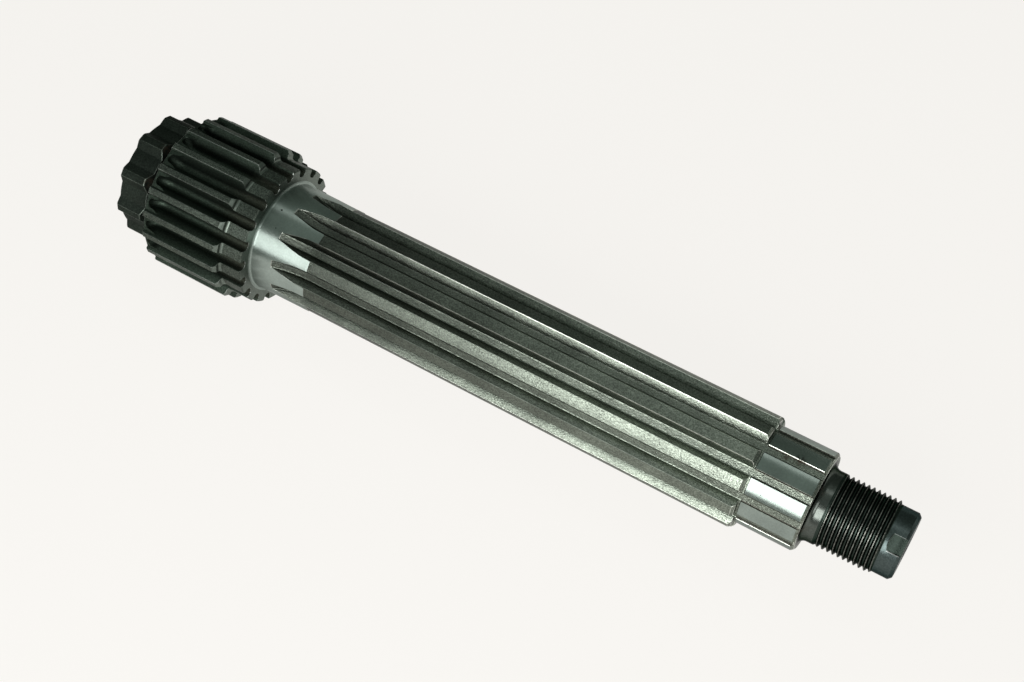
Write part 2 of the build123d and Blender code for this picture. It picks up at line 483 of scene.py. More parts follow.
def splineSection():
    # half of a groove, from the middle of its floor to the edge of the tooth's land
    root, size = spline["rootRadius"], spline["rootFillet"]
    inner, foot, gear = splineFloor()
    half = [(inner * share, root) for share in spline["floorRows"]]
    for angle in spline["filletTurns"]:
        turn = radians(angle)
        half.append((inner + size * sin(turn), root + (foot[1] - root) * (1 - cos(turn))))
    half.append(foot)
    low = spline["tipRadius"] - spline["tipBreak"]
    for radius in (seat["radius"], *spline["flankRows"], low):
        half.append(at(radius, halfGap(radius, *gear)))
    half.append(at(spline["tipRadius"], halfGap(low, *gear) + spline["tipBreak"] / spline["tipRadius"]))
    return half


def splinePath(spot):
    radius = min(sqrt(spot[0] ** 2 + spot[1] ** 2), spline["tipRadius"])
    across, up = spot
    small = shaft["edge"]
    land = radius > spline["tipRadius"] - touch
    ground, end = journal["radius"], journal["end"]
    centre = spline["rootRadius"] + spline["hobRadius"]
    top = sqrt(ground ** 2 - across ** 2)
    rise = acos((centre - top) / (centre - up)) if not land else 0.0
    leave = end - (centre - up) * sin(rise) if not land else end
    above = (across, top) if not land else spot
    shoulder, size = pinion["shoulder"], journal["fillet"]
    path = []
    add, addAbove = adder(path, spot), adder(path, above)
    addAbove(ground + size + journal["seam"], shoulder)
    for station, height in arcSpots((shoulder + size, ground + size), size, 180, 270, 6):
        addAbove(height, station)
    for station in journal["rows"]:
        addAbove(ground, station)
    plain = journal["rows"][-1]
    for share in thirds:
        addAbove(ground, plain + (leave - plain) * share)
    steps = spline["riseSteps"]
    if land:
        add(ground, end, edge=True)
        for _ in range(steps + 1):
            add(radius, end + journal["step"])
    else:
        widest, part = spline["runOutEdge"]
        nib = min(widest, (leave - plain) * part)
        addAbove(ground, leave - nib, edge=True)
        first = rise * (1 - small / (end - leave))
        for step in range(steps + 1):
            turn = first * (1 - step / steps)
            height = centre - (centre - up) * cos(turn)
            path.append((end - (centre - up) * sin(turn), across, height, False, False))
    # straight teeth, then the chamfer, the relief and the ground seat
    splineEnd, chamfer = spline["end"], spline["chamfer"]
    faceStation = splineEnd + chamfer
    for share in spline["rows"]:
        add(radius, end + (splineEnd - end) * share, land)
    cornerRadius = spline["tipRadius"] - chamfer
    relief = seat["radius"] - seat["reliefDepth"]
    over = radius > seat["radius"] + 2 * touch
    leave = splineEnd + spline["tipRadius"] - radius if radius > cornerRadius else faceStation
    chamferBreak = spline["chamferBreak"]
    nib = chamferBreak if land else small
    add(radius, leave - nib, land, over)
    if radius > cornerRadius + spline["chamferMargin"]:
        add(radius - nib, leave + nib)
        add(cornerRadius + chamferBreak, faceStation - chamferBreak, edge=True)
        add(cornerRadius - chamferBreak, faceStation)
    elif over:
        for _ in range(3):
            add(radius - nib, faceStation)
    else:
        for _ in range(3):
            add(radius, leave, False)
    low = min(radius, relief)
    rides = radius > seat["radius"] - 2 * touch
    add(low, faceStation, rides)
    add(low, faceStation + seat["reliefWidth"], rides)
    seatRadius = min(radius, seat["radius"])
    if rides and not over:
        seatRadius = seat["radius"] - seat["landBreak"]
    seatStart = faceStation + seat["reliefWidth"] + seat["reliefDepth"]
    chamferStart = seat["end"] - seat["chamfer"]
    leave = chamferStart + seat["radius"] - seatRadius
    add(seatRadius, seatStart, over)
    add(seatRadius, (seatStart + chamferStart) / 2, over)
    endBreak, cornerBreak = seat["endBreak"], seat["cornerBreak"]
    add(seatRadius, leave - endBreak, over, True)
    add(seatRadius - endBreak, leave + endBreak)
    chamferFoot = seat["radius"] - seat["chamfer"]
    add(chamferFoot + cornerBreak, seat["end"] - cornerBreak, edge=True)
    add(chamferFoot - cornerBreak, seat["end"])
    add(seat["faceRadius"], seat["end"])
    return path


def splineFinish(spots, turned):
    station = sum(spot[0] for spot in spots) / 4
    radius = sum(sqrt(spot[1] ** 2 + spot[2] ** 2) for spot in spots) / 4
    if turned and station < journal["end"]:
        return "ground"
    # the journal's step takes the bright edge finish, partly a painted highlight
    if turned and station < journal["end"] + journal["step"]:
        return "splinedEdge"
    if station < spline["end"] + spline["chamfer"] + seat["finishFrom"]:
        return "splined"
    if turned:
        return "ground" if radius > seat["radius"] - 5 * touch else "splined"
    # the chamfers and steps at the seat take the bright edge finish: bare metal, partly a painted highlight
    if radius > seat["radius"] - 10 * touch:
        return "splinedEdge"
    # the walls of the grooves through the seat are painted dark as shade
    onWall = min(abs(spot[1]) for spot in spots) > splineFloor()[0] - touch
    return "stained" if onWall else "splined"


def buildSpline():
    return layAround(splineSection(), spline["landRows"], spline["tipRadius"], spline["teeth"],
                     spline["phase"], splinePath, splineFinish)


# Neck and thread

threadedEnd = {
    "radius": 14.0,
    "neckFillet": 2.494,
    "pitch": 2.0,
    "coreRadius": 12.88,
    "crestWidth": 0.27,
    "floorWidth": 0.36,
    "start": 302.5,          # where the thread begins to rise out of the neck
    "fullFrom": 304.6,
    "end": 324.9,
    "phase": 0.35,           # of a turn
    # how far past the crest, down the flank and before the floor a turn's spots lie, and how deep
    "rounds": ((0.035, 0.09), (0.55, 0.53), (0.03, 0.93)),
    "columns": 112,
    "seam": 0.3,             # from the neck's fillet to the sewn face
}


def buildNeck():
    size = threadedEnd["neckFillet"]
    count = threadedEnd["columns"]
    middle = (seat["end"] + size, threadedEnd["radius"] + size)
    path = [(seat["end"], 0, middle[1] + threadedEnd["seam"], True, False)]
    path += [(station, 0, height, True, False) for station, height in arcSpots(middle, size, 180, 270, 9)]
    path.append((threadedEnd["start"], 0, threadedEnd["radius"], True, False))
    columns = [(2 * pi * c / count, path) for c in range(count)]
    return layGrid(columns, lambda spots, turned: "blued")


def threadProfile():
    # share of a turn's pitch and depth, 0 at the crest and 1 at the floor, a little rounded at both
    crest = threadedEnd["crestWidth"] / threadedEnd["pitch"] / 2
    floor = threadedEnd["floorWidth"] / threadedEnd["pitch"] / 2
    flank = 0.5 - crest - floor
    (early, shallow), (middle, halfDeep), (late, deep) = threadedEnd["rounds"]
    half = [(0.0, 0.0), (crest, 0.0), (crest + early, shallow), (crest + flank * middle, halfDeep),
            (0.5 - floor - late, deep), (0.5 - floor * middle, 1.0)]
    return half + [(0.5, 1.0)] + [(1 - share, depth) for share, depth in reversed(half[1:])]


def buildThread():
    # a right-hand thread: rows follow the helix, and end on flat loops at both ends
    size = threadedEnd
    profile = threadProfile()
    shares = [share for share, depth in profile]
    depths = [depth for share, depth in profile]
    turns = int((size["end"] - size["start"]) / size["pitch"]) + 3
    full = size["radius"] - size["coreRadius"]
    endSlope = size["radius"] - tip["radius"]
    count = size["columns"]
    rows = [(turn, row) for turn in range(-1, turns) for row in range(len(profile))]
    grid = {}
    seen = {}
    for c in range(count + 1):
        lead = c / count + size["phase"]
        for number, (turn, row) in enumerate(rows):
            station = size["start"] + size["pitch"] * (turn + shares[row] + lead - 1)
            clamped = min(max(station, size["start"]), size["end"])
            share = ((clamped - size["start"]) / size["pitch"] - lead) % 1
            depth = np.interp(share, shares + [1.0], depths + [0.0])
            grow = min(max((clamped - size["start"]) / (size["fullFrom"] - size["start"]), 0), 1)
            radius = size["radius"] - full * depth * grow * grow * (3 - 2 * grow)
            radius = min(radius, size["radius"] - max(0, clamped - size["end"] + endSlope))
            radius = max(radius, tip["radius"])
            key = (c % count, round(clamped, 5))
            if key not in seen:
                seen[key] = addPoint(clamped, 2 * pi * c / count, radius)
            grid[c, number] = seen[key]
    crestRows = (0, len(profile) - 1)
    for c in range(count):
        for number in range(len(rows) - 1):
            corners = [grid[c, number], grid[c + 1, number], grid[c + 1, number + 1], grid[c, number + 1]]
            # the crests take the bright edge finish: worn bare metal, partly a painted highlight
            crest = rows[number][1] in crestRows
            addFace(corners, False, False, "blackenedEdge" if crest else "blackened")


# Tip

tip = {
    "radius": 12.9,
    "end": 332.05,
    "chamfer": 1.2,
    "notchWidth": 6.4,
    "notchLength": 5.85,
    "cutterRadius": 10.0,
    "notchPhase": 125.3,
    "burr": 0.1,
    "burrRise": 0.4,         # how far along the notch's sides the burr grows to its height
    "lipRise": 0.1,
    "edge": 0.12,
    "rows": (325.4, 326.0),  # stations of the rows before the notch
    "notchRows": (0.2, 0.4, 0.6, 0.8, 1.0),     # shares of the notch's length up to the chamfer
    "chamferRow": 331.45,
    "halfColumns": 4,        # over half the notch's width
    "columns": 44,           # beside the notch's own
    "beside": 0.02,          # angle between the notch's side and the next column
    "seam": 0.5,             # from the centre hole's mouth to the sewn face
}


def notchFloor(station):
    sink = sqrt(tip["cutterRadius"] ** 2 - tip["notchLength"] ** 2)
    return tip["radius"] + sink - sqrt(tip["cutterRadius"] ** 2 - (tip["end"] - station) ** 2)


def notchStart(across):
    # station where the disc cutter enters the surface, for a line beside the notch's middle
    sink = sqrt(tip["cutterRadius"] ** 2 - tip["notchLength"] ** 2)
    drop = tip["radius"] + sink - sqrt(tip["radius"] ** 2 - across ** 2)
    return tip["end"] - sqrt(tip["cutterRadius"] ** 2 - drop ** 2)


def tipFinish(spots, turned):
    inNotch = all(abs(spot[1]) < tip["notchWidth"] / 2 + touch and spot[2] > 0 for spot in spots)
    return "blackened" if inNotch and not turned else "slate"


def buildTip():
    half = tip["notchWidth"] / 2
    chamferStart = tip["end"] - tip["chamfer"]

    def outer(station):
        return tip["radius"] - max(0, station - chamferStart)

    def rowStations(begin):
        # plain rows, the notch's lip, its start, and the rows along it to the end face
        stations = [*tip["rows"], begin - tip["edge"], begin]
        stations += [begin + (chamferStart - begin) * share for share in tip["notchRows"]]
        return stations + [tip["chamferRow"], tip["end"] - tip["edge"]]

    def notchPath(across, onFloor):
        begin = notchStart(min(abs(across), half))
        path = []
        for row, station in enumerate(rowStations(begin)):
            lip, cut = row == 2, row > 2
            if cut and onFloor:
                up = notchFloor(station + (tip["lipRise"] if row == 3 else 0))
                path.append((station, across, up, False, False))
                continue
            radius = outer(station)
            if lip and onFloor:
                radius += tip["burr"]
            if cut:
                radius += tip["burr"] * min(1, (station - begin) / tip["burrRise"])
            turned = onFloor or station < begin
            path.append((station, across, sqrt(radius ** 2 - across ** 2), turned, lip and onFloor))
        last = notchFloor(tip["end"]) if onFloor else sqrt(outer(tip["end"]) ** 2 - across ** 2)
        path[-1] = (*path[-1][:4], onFloor)
        path.append((tip["end"], across, last - tip["edge"], True, False))
        path.append((*along((across, last), rightCentre["mouth"] + tip["seam"], tip["end"]), True, False))
        return path

    centre = radians(tip["notchPhase"])
    count = tip["halfColumns"]
    columns = [(centre, notchPath(half * c / count, True)) for c in range(-count, count + 1)]
    sides = {len(columns)}
    columns.append((centre, notchPath(half, False)))
    wide = asin(half / tip["radius"]) + tip["beside"]
    for c in range(tip["columns"]):
        spot = at(tip["radius"], wide + (2 * pi - 2 * wide) * c / (tip["columns"] - 1))
        path = []
        add = adder(path, spot)
        for station in rowStations(notchStart(half)):
            add(outer(station), station)
        add(outer(tip["end"]) - tip["edge"], tip["end"])
        add(rightCentre["mouth"] + tip["seam"], tip["end"])
        columns.append((centre, path))
    sides.add(len(columns) - 1)
    columns.append((centre, notchPath(-half, False)))
    return layGrid(columns, tipFinish, sides)


# Centre holes: bore, depth and mouth of each, and what the centre drill leaves in both
leftCentre = {"radius": 3.15, "depth": 14.0, "mouth": 6.6}
rightCentre = {"radius": 2.0, "depth": 9.0, "mouth": 4.25}
centreDrill = {
    "coneAngle": 60,
    "pointShare": 0.6,       # the drill point's depth as a share of its radius
    "pointRadius": 0.02,
    "edge": 0.06,
    "edgeDepth": 0.1,
    "seam": 0.3,             # from the mouth to the sewn face
    "columns": 48,
}


def buildCentreHole(hole, end, inwards, finish):
    # inwards is 1 at the left end and -1 at the right end
    mouth, radius, depth = hole["mouth"], hole["radius"], hole["depth"]
    cone = (mouth - radius) / tan(radians(centreDrill["coneAngle"] / 2))
    point = (depth + radius * centreDrill["pointShare"], centreDrill["pointRadius"])
    edge, count = centreDrill["edge"], centreDrill["columns"]
    outline = [(0, mouth + centreDrill["seam"]), (0, mouth + edge), (centreDrill["edgeDepth"], mouth - edge),
               (cone, radius), (depth, radius), point]
    if inwards > 0:
        outline.reverse()
    path = [(end + inwards * into, 0, height, True, False) for into, height in outline]
    columns = [(2 * pi * c / count, path) for c in range(count)]
    loops = layGrid(columns, lambda spots, turned: finish)
    apex = loops[0] if inwards > 0 else loops[1]
    addFace(tuple(reversed(apex)) if inwards > 0 else tuple(apex), True, False, finish)
    return loops


def buildSkin():
    leftHole = buildCentreHole(leftCentre, 0.0, 1, "scaled")
    ringLoops = buildRing()
    sewLoops(leftHole[1], ringLoops[0], "scaled")
    gearLoops = buildPinion()
    sewLoops(ringLoops[1], gearLoops[0], "forged")
    splineLoops = buildSpline()
    sewLoops(gearLoops[1], splineLoops[0], "faced")
    neckLoops = buildNeck()
    sewLoops(splineLoops[1], neckLoops[0], "splined")
    threadStart = len(skin["points"])
    buildThread()
    threadPoints = range(threadStart, len(skin["points"]))
    endX = (threadedEnd["end"] - shaft["origin"]) / 1000
    threadEnd = [k for k in threadPoints if abs(skin["points"][k][0] - endX) < 1e-7]
    tipLoops = buildTip()
    sewLoops(threadEnd, tipLoops[0], "slate")
    rightHole = buildCentreHole(rightCentre, tip["end"], -1, "slate")
    sewLoops(tipLoops[1], rightHole[0], "slate")


def weldSkin():
    # points that fall together become one, and faces that close up go
    places = np.round(np.array(skin["points"]) * 1e7).astype(np.int64)
    unique, first, back = np.unique(places, axis=0, return_index=True, return_inverse=True)
    back = back.reshape(-1)
    points = np.array(skin["points"])[first]
    kept = {"faces": [], "turned": [], "edge": [], "finish": []}
    for number, face in enumerate(skin["faces"]):
        corners = [int(back[k]) for k in face]
        corners = [k for place, k in enumerate(corners) if k != corners[place - 1]]
        if len(set(corners)) < 3 or len(set(corners)) < len(corners):
            continue
        kept["faces"].append(corners)
        for name in ("turned", "edge", "finish"):
            kept[name].append(skin[name][number])
    return points, kept


def unit(rows):
    return rows / np.maximum(np.linalg.norm(rows, axis=1), 1e-9)[:, None]


def smoothNormals(points, faces, turned, sharp):
    # each corner's normal: turned faces follow the lathe's curve exactly, and close ones are averaged
    cornerPoint = np.array([k for face in faces for k in face])
    cornerFace = np.array([number for number, face in enumerate(faces) for _ in face])
    normals = np.zeros((len(faces), 3))
    middles = np.zeros((len(faces), 3))
    for number, face in enumerate(faces):
        place = points[face]
        middle = place.mean(axis=0)
        spread = place - middle
        normals[number] = np.cross(spread, np.roll(spread, -1, axis=0)).sum(axis=0)
        middles[number] = middle
    area = np.linalg.norm(normals, axis=1)
    normals /= np.maximum(area, 1e-16)[:, None]
    cornerNormal = normals[cornerFace]
    isTurned = np.array(turned)[cornerFace]
    ray, middleRay = unit(points[cornerPoint][:, 1:]), unit(middles[cornerFace][:, 1:])
    outwards = (cornerNormal[:, 1:] * middleRay).sum(axis=1)
    exact = unit(np.column_stack([cornerNormal[:, 0], ray * outwards[:, None]]))
    cornerNormal = np.where(isTurned[:, None], exact, cornerNormal)
    weight = np.sqrt(area[cornerFace])
    order = np.argsort(cornerPoint, kind="stable")
    bounds = np.flatnonzero(np.diff(cornerPoint[order])) + 1
    result = cornerNormal.copy()
    limit = cos(radians(sharp))
    for group in np.split(order, bounds):
        near = cornerNormal[group] @ cornerNormal[group].T > limit
        result[group] = unit((near * weight[group][None, :]) @ cornerNormal[group])
    return result


def addObject(name, data):
    added = bpy.data.objects.new(name, data)
    bpy.context.scene.collection.objects.link(added)
    return added


def makeShaftObject():
    buildSkin()
    points, kept = weldSkin()
    mesh = bpy.data.meshes.new("countershaft_skin")
    mesh.from_pydata(points.tolist(), [], kept["faces"])
    # broken edges take the brighter edge finish where there is one: bare worn metal, partly a painted
    # highlight
    names = [finish + "Edge" if edge and finish + "Edge" in finishes else finish
             for finish, edge in zip(kept["finish"], kept["edge"])]
    mesh.polygons.foreach_set("material_index", [finishes.index(name) for name in names])
    mesh.polygons.foreach_set("use_smooth", [True] * len(mesh.polygons))
    normals = smoothNormals(points, kept["faces"], kept["turned"], shaft["sharp"])
    mesh.normals_split_custom_set(normals.tolist())
    mesh.validate()
    return addObject("countershaft_skin", mesh)


# Materials. Their patterns follow the object's own coordinates, so that they stay on the part.

# Painted shade along the shaft: the steel is painted darker towards the pinion, between two stations in mm,
# standing in for light that falls off along the shaft
paintedShade = {
    "from": 60,
    "to": 300,
    "left": {"ground": 1.05, "splined": 0.38, "splinedEdge": 0.48},    # brightness at the first one
}

# Marks, as station, angle from Y towards Z, radius and size in mm
rustSpots = [(14.0, 134, 24.5, 4.5), (12.0, 98, 24.0, 3.5), (15.5, 170, 23.5, 3.0),
             (287.5, 88, 18.9, 3.2), (283.0, 93, 18.8, 2.2), (234.5, 70, 18.8, 2.5),
             (299.0, 104, 16.0, 3.5), (298.6, 143, 17.0, 3.0), (298.6, 165, 17.0, 4.0)]
nicks = [(68.5, 99.5, 22.5, 0.55), (70.5, 118.5, 22.5, 0.3), (84.0, 132, 22.5, 0.25),
         (112.0, 160, 22.2, 0.35), (258.0, 139, 22.2, 0.35), (263.5, 141, 22.2, 0.3),
         (267.0, 138, 22.2, 0.3), (281.0, 141, 19.4, 0.2)]
marks = {
    "rustColour": (0.055, 0.034, 0.022, 1),
    "rustShare": 0.6,        # how much of the steel's colour it hides
    "rougher": 0.3,          # how much rougher rust is than the steel, up to the roughest
    "roughest": 0.8,
    "nickColour": (0.012, 0.013, 0.012, 1),
    "patches": 0.9,          # scale of the noise that breaks the rust up
    "patchMask": (0.38, 0.58),
    "rustCore": 0.1,         # share of a mark's size where it is full
    "nickCore": 0.5,
    "oilFrom": (40, 60),     # stations over which the oil in the pinion's gaps thickens
    "oilTo": (63.9, 64.0),
    "oilTop": (27.4, 28.8),  # radii over which it thins out
    "oilShare": 0.4,
}

# Grain in all the finishes: a fine noise with pits, on coarser waves
grain = {
    "fineRoughness": 0.6,
    "mask": (0.36, 0.66),    # values of the fine noise that are dark and bright
    "pitWidth": 0.6,
    "fineShare": 0.7,
    "pitShare": 0.3,
    "coarseScale": 0.28,
    "coarseShare": 0.5,
    "cloudScale": 0.06,      # patches of a few cm that are a little darker or lighter
    "cloudMask": (0.3, 0.7),
    "cloud": (0.86, 1.12),
    "ringScale": 1.3,        # of the grinding wheel's rings, along the shaft
}

# colour, roughness, tint where it is seen from the side, size and depth of the grain in mm, and how much
# the grain and the wheel's rings show in the colour
# a low side tint is partly the finish's own and partly painted shade: it dims the grazing reflection of the
# floor, which is darker near the shaft
looks = {
    # the edge finishes on broken edges, chamfers, steps and thread crests are bare worn metal, partly a
    # painted highlight
    "scaled": ((0.030, 0.038, 0.031), 0.52, 0.55, 0.55, 0.05, 0.6, 0.0),
    "scaledEdge": ((0.095, 0.112, 0.095), 0.42, 0.7, 0.5, 0.02, 0.9, 0.0),
    "forged": ((0.042, 0.057, 0.044), 0.52, 0.55, 0.55, 0.05, 0.6, 0.0),
    "forgedEdge": ((0.20, 0.22, 0.20), 0.40, 0.8, 0.5, 0.02, 0.8, 0.0),
    "worn": ((0.084, 0.100, 0.083), 0.44, 0.7, 0.5, 0.08, 0.95, 0.0),
    "faced": ((0.14, 0.165, 0.142), 0.40, 0.8, 0.6, 0.02, 0.3, 0.2),
    "ground": ((0.310, 0.362, 0.330), 0.35, 0.5, 0.8, 0.001, 0.12, 0.25),
    "splined": ((0.202, 0.228, 0.190), 0.31, 0.6, 0.55, 0.14, 0.75, 0.0),
    "splinedEdge": ((0.62, 0.65, 0.58), 0.30, 1.0, 0.8, 0.01, 0.5, 0.0),
    # painted shade for the walls of the grooves through the seat
    "stained": ((0.060, 0.060, 0.050), 0.45, 0.5, 0.6, 0.06, 0.9, 0.0),
    "blued": ((0.096, 0.108, 0.097), 0.22, 0.25, 0.8, 0.004, 0.25, 0.1),
    "blackened": ((0.038, 0.051, 0.043), 0.33, 0.3, 0.6, 0.012, 0.3, 0.0),
    "blackenedEdge": ((0.15, 0.156, 0.138), 0.38, 0.5, 0.7, 0.01, 1.0, 0.0),
    "slate": ((0.074, 0.095, 0.092), 0.30, 0.3, 0.7, 0.012, 0.3, 0.2),
    "slateEdge": ((0.36, 0.38, 0.37), 0.30, 0.8, 0.6, 0.01, 0.6, 0.0),
}
finishes = list(looks)
lookValues = ("colour", "roughness", "sideTintAndShade", "grain", "depth", "speckle", "rings")
wheelMarks = {"spread": 0.96, "turn": 0.25}    # on the ground surfaces


def newGroup(name, inputs, outputs):
    # inputs and outputs are given as names with the kind of socket, such as Float
    tree = bpy.data.node_groups.new(name, "ShaderNodeTree")
    for sockets, side in ((inputs, "INPUT"), (outputs, "OUTPUT")):
        for label, kind in sockets.items():
            tree.interface.new_socket(label, in_out=side, socket_type="NodeSocket" + kind)
    return tree, tree.nodes.new("NodeGroupInput").outputs, tree.nodes.new("NodeGroupOutput")


def feed(node, sources):
    # each input, by name or number, takes its source: a socket, a number or a vector
    for name, source in sources.items():
        if isinstance(source, bpy.types.NodeSocket):
            node.id_data.links.new(source, node.inputs[name])
        elif source is not None:
            node.inputs[name].default_value = source
    return node


def put(tree, kind, *sources, **settings):
    # a new node whose first inputs take the sources in order
    node = tree.nodes.new(kind)
    for name, value in settings.items():
        setattr(node, name, value)
    return feed(node, dict(enumerate(sources)))


def calculate(tree, operation, *sources):
    return put(tree, "ShaderNodeMath", *sources, operation=operation).outputs[0]


def smooth(tree, value, low, high, first=0.0, last=1.0):
    # a smooth step from first to last as value goes from low to high
    node = put(tree, "ShaderNodeMapRange", value, low, high, first, last, interpolation_type="SMOOTHSTEP")
    return node.outputs[0]


def blend(tree, kind, share, first, second):
    node = put(tree, "ShaderNodeMix", data_type="RGBA", blend_type=kind)
    return feed(node, {0: share, 6: first, 7: second}).outputs[2]


def noise(tree, place, scale, detail):
    return feed(put(tree, "ShaderNodeTexNoise", place), {"Scale": scale, "Detail": detail})


def makePlaceGroup():
    # where a point lies: the place in mm, the station and the radius
    tree, _, result = newGroup("shaftPlace", {}, {"Place": "Vector", "Station": "Float", "Radius": "Float"})
    own = put(tree, "ShaderNodeTexCoord").outputs["Object"]
    place = feed(put(tree, "ShaderNodeVectorMath", own, operation="SCALE"), {"Scale": 1000}).outputs[0]
    parts = put(tree, "ShaderNodeSeparateXYZ", place).outputs
    station = calculate(tree, "ADD", parts[0], shaft["origin"])
    across = put(tree, "ShaderNodeVectorMath", place, (0, 1, 1), operation="MULTIPLY")
    radius = put(tree, "ShaderNodeVectorMath", across.outputs[0], operation="LENGTH").outputs["Value"]
    feed(result, {"Place": place, "Station": station, "Radius": radius})
    return tree


def useGroup(tree, group, *sources):
    return put(tree, "ShaderNodeGroup", *sources, node_tree=group).outputs


def makeGrainGroup(placeGroup):
    # shot-cleaned steel: fine pits with coarser waves under them
    tree, given, result = newGroup("steelGrain", {"Size": "Float"}, {"Mask": "Float", "Height": "Float"})
    place = useGroup(tree, placeGroup)["Place"]
    scale = calculate(tree, "DIVIDE", 1.0, given["Size"])
    fine = feed(noise(tree, place, scale, 3), {"Roughness": grain["fineRoughness"]}).outputs[0]
    coarse = noise(tree, place, grain["coarseScale"], 2).outputs[0]
    cells = feed(put(tree, "ShaderNodeTexVoronoi", place), {"Scale": scale}).outputs["Distance"]
    pits = smooth(tree, cells, 0.0, grain["pitWidth"])
    height = calculate(tree, "ADD", calculate(tree, "MULTIPLY", fine, grain["fineShare"]),
                       calculate(tree, "MULTIPLY", pits, grain["pitShare"]))
    waves = calculate(tree, "MULTIPLY", coarse, grain["coarseShare"])
    feed(result, {"Mask": smooth(tree, fine, *grain["mask"]),
                  "Height": calculate(tree, "ADD", height, waves)})
    return tree


def addSpots(tree, place, spots, core):
    # 1 inside each spot and 0 outside them
    total = 0.0
    for station, angle, radius, size in spots:
        turn = radians(angle)
        centre = (station - shaft["origin"], radius * cos(turn), radius * sin(turn))
        away = put(tree, "ShaderNodeVectorMath", place, centre, operation="DISTANCE").outputs["Value"]
        total = calculate(tree, "MAXIMUM", smooth(tree, away, size * core, size, 1.0, 0.0), total)
    return total


def makeMarkGroup(placeGroup):
    # rust in the corners, old oil in the right ends of the pinion's gaps, and a few dark nicks
    tree, _, result = newGroup("steelMarks", {}, {"Rust": "Float", "Nick": "Float"})
    where = useGroup(tree, placeGroup)
    patches = smooth(tree, noise(tree, where["Place"], marks["patches"], 4).outputs[0], *marks["patchMask"])
    rust = calculate(tree, "MULTIPLY", addSpots(tree, where["Place"], rustSpots, marks["rustCore"]), patches)
    low = smooth(tree, where["Radius"], *marks["oilTop"], marks["oilShare"], 0.0)
    oil = calculate(tree, "MULTIPLY", smooth(tree, where["Station"], *marks["oilFrom"]), low)
    oil = calculate(tree, "MULTIPLY", oil, smooth(tree, where["Station"], *marks["oilTo"], 1.0, 0.0))
    feed(result, {"Rust": calculate(tree, "MAXIMUM", rust, oil),
                  "Nick": addSpots(tree, where["Place"], nicks, marks["nickCore"])})
    return tree


def makeToneGroup(placeGroup, grainGroup, markGroup):
    # the steel's colour: painted shade that darkens it towards the pinion, clouds, speckles and marks
    inputs = {"Colour": "Color", "Left": "Float", "Size": "Float", "Speckle": "Float", "Rings": "Float"}
    outputs = {"Colour": "Color", "Height": "Float", "Worn": "Float"}
    tree, given, result = newGroup("steelTone", inputs, outputs)
    place = useGroup(tree, placeGroup)
    # painted shade: darker towards the pinion
    share = smooth(tree, place["Station"], paintedShade["from"], paintedShade["to"])
    rise = calculate(tree, "SUBTRACT", 1.0, given["Left"])
    fade = calculate(tree, "MULTIPLY_ADD", share, rise, given["Left"])
    cloud = noise(tree, place["Place"], grain["cloudScale"], 3).outputs[0]
    fade = calculate(tree, "MULTIPLY", fade, smooth(tree, cloud, *grain["cloudMask"], *grain["cloud"]))
    grains = useGroup(tree, grainGroup, given["Size"])
    speckle = calculate(tree, "SUBTRACT", grains["Mask"], 0.5)
    fade = calculate(tree, "MULTIPLY", fade, calculate(tree, "MULTIPLY_ADD", speckle, given["Speckle"], 1.0))
    turn = calculate(tree, "MULTIPLY", place["Station"], grain["ringScale"])
    ring = put(tree, "ShaderNodeTexNoise", None, turn, noise_dimensions="1D").outputs[0]
    ring = calculate(tree, "SUBTRACT", ring, 0.5)
    fade = calculate(tree, "MULTIPLY", fade, calculate(tree, "MULTIPLY_ADD", ring, given["Rings"], 1.0))
    grey = put(tree, "ShaderNodeCombineColor", fade, fade, fade).outputs[0]
    colour = blend(tree, "MULTIPLY", 1.0, given["Colour"], grey)
    spots = useGroup(tree, markGroup)
    hidden = calculate(tree, "MULTIPLY", spots["Rust"], marks["rustShare"])
    colour = blend(tree, "MIX", hidden, colour, marks["rustColour"])
    colour = blend(tree, "MIX", spots["Nick"], colour, marks["nickColour"])
    feed(result, {"Colour": colour, "Height": grains["Height"], "Worn": spots["Rust"]})
    return tree


def makeSteel(finish, toneGroup):
    look = dict(zip(lookValues, looks[finish]))
    material = bpy.data.materials.new(finish + "Steel")
    material.use_nodes = True
    tree = material.node_tree
    tone = useGroup(tree, toneGroup, (*look["colour"], 1), paintedShade["left"].get(finish, 1.0),
                    look["grain"], look["speckle"], look["rings"])
    rough = look["roughness"]
    rougher = min(rough + marks["rougher"], marks["roughest"])
    bump = feed(put(tree, "ShaderNodeBump"),
                {"Strength": 1.0, "Distance": look["depth"] / 1000, "Height": tone["Height"]})
    shader = tree.nodes["Principled BSDF"]
    feed(shader, {"Base Color": tone["Colour"], "Metallic": 1.0,
                  # the side tint: partly painted shade on grazing reflections
                  "Specular Tint": (look["sideTintAndShade"],) * 3 + (1,),
                  "Roughness": smooth(tree, tone["Worn"], 0, 1, rough, rougher),
                  "Normal": bump.outputs[0]})
    if finish == "ground":
        # the wheel's marks run around the shaft, so a reflection spreads along it
        tangent = put(tree, "ShaderNodeTangent", direction_type="RADIAL", axis="X").outputs[0]
        feed(shader, {"Tangent": tangent, "Anisotropic": wheelMarks["spread"],
                      "Anisotropic Rotation": wheelMarks["turn"]})
    return material


skinObject = makeShaftObject()
placeGroup = makePlaceGroup()
toneGroup = makeToneGroup(placeGroup, makeGrainGroup(placeGroup), makeMarkGroup(placeGroup))
for finish in finishes:
    skinObject.data.materials.append(makeSteel(finish, toneGroup))
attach(skinObject, "root")
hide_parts("countershaft")
print("skin built", len(skinObject.data.polygons), "faces")


# Camera, fitted to the photograph: the point of the axis in front of it, and its turn

view = {
    "foot": 0.2767,          # metres along X
    "distance": 0.56249,
    "axis": (0.85351, 0.42615, -0.29987),      # the shaft's +X in the camera's right, down, forward
    "nearest": (0.26590, 0.13872, 0.95397),    # from the camera to the axis
    "side": (0.4481, -0.8940, 0.0051),
    "turn": 121.5,           # angle of the camera's side of the shaft, from Y towards Z
    "lens": 54.53,
    "sensor": 36,
}

